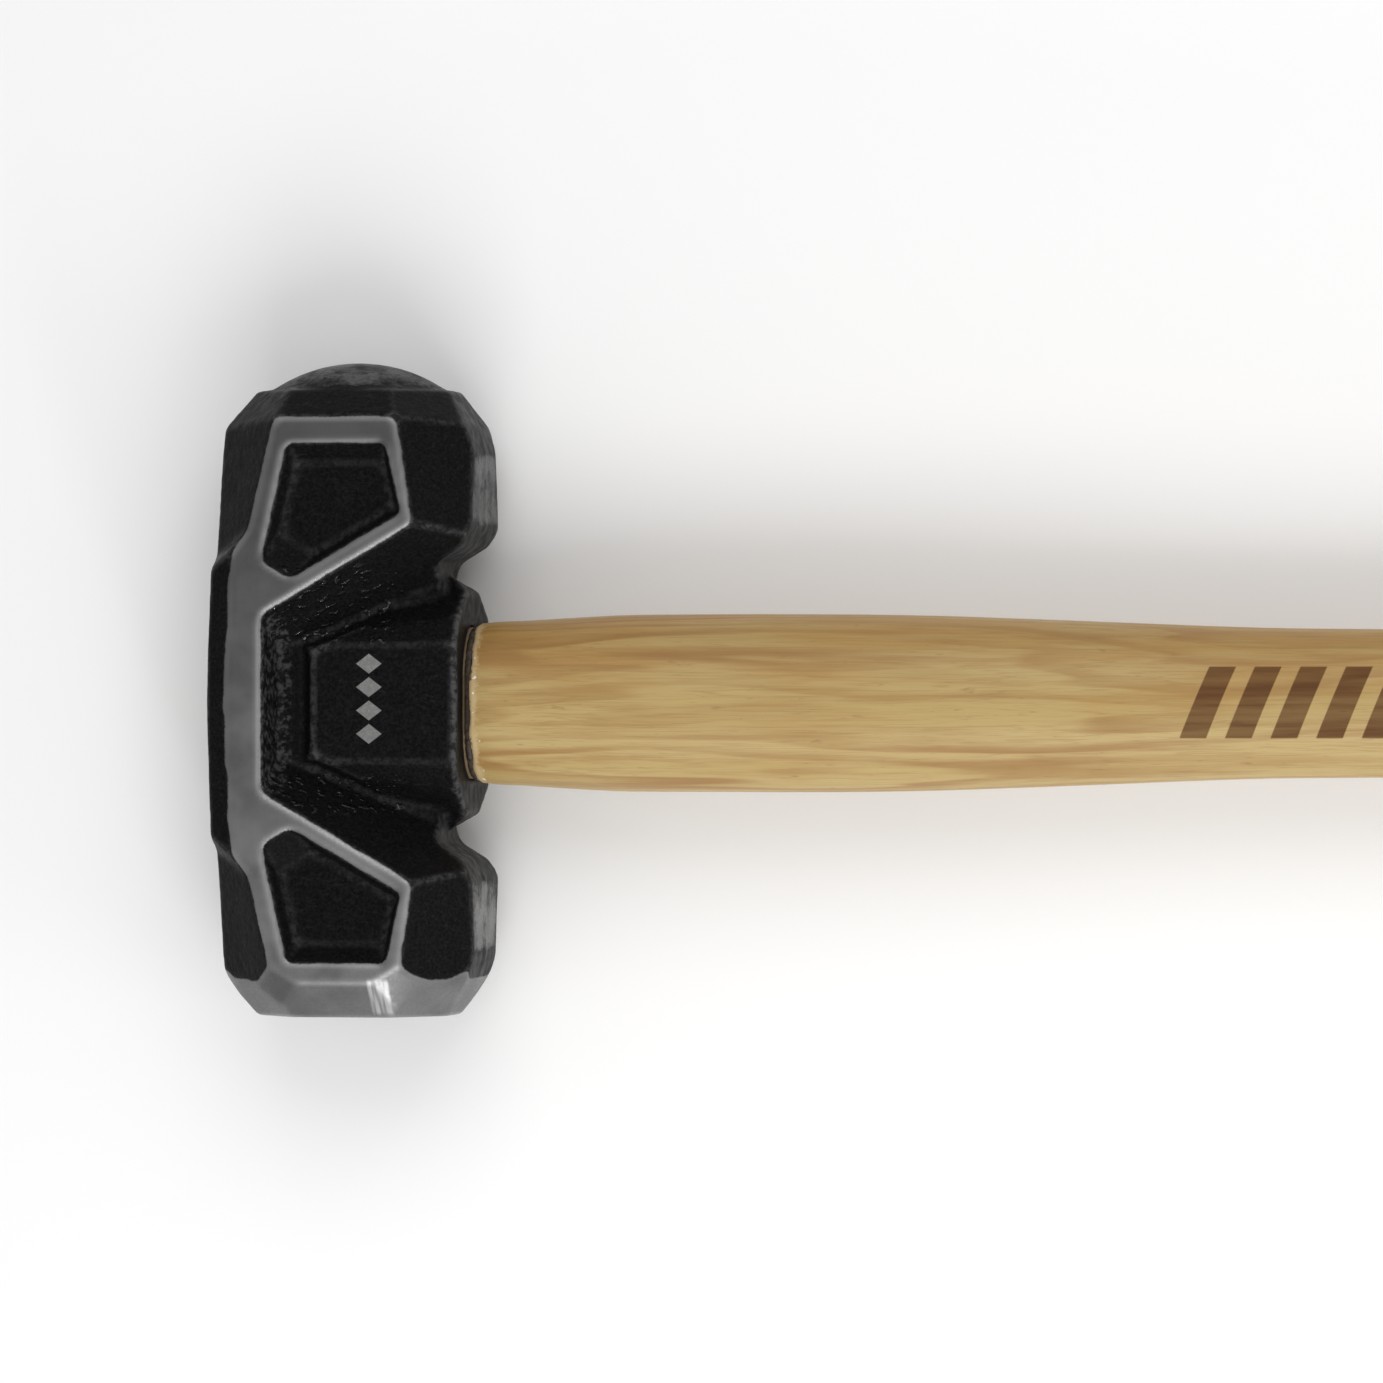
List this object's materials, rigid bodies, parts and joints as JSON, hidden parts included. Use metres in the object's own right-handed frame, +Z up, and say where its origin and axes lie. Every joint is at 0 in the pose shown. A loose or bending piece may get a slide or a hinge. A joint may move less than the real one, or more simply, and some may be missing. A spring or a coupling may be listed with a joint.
{
  "type": "sledgehammer",
  "caption": "Long-handled sledgehammer: forged octagonal steel head with pocketed cheeks, one crowned and one flat striking face, on an oval hickory handle held by wedges.",
  "frame": {"origin": "centre of the back bar's flat on the lower cheek, in the plane that the hammer lies on", "axes": "+X along the handle from the head to the grip, +Y along the strike axis to the crowned face, +Z up out of the upper cheek"},
  "size_m": [0.8999, 0.163, 0.062],
  "materials": {
    "forged_head": "black paint over forged steel, satin bare steel on the cheek pads",
    "hickory": "clear satin varnish, straight grain",
    "resin_bead": "pale set adhesive with wood shavings",
    "wedge_wood": "end grain, unvarnished",
    "wedge_steel": "plain hammered steel"
  },
  "bodies": {
    "root": {"head": "forged_head", "shaft": "hickory", "eye_bead": "resin_bead", "wood_wedge": "wedge_wood", "steel_wedge_upper": "wedge_steel", "steel_wedge_lower": "wedge_steel"}
  },
  "joints": []
}
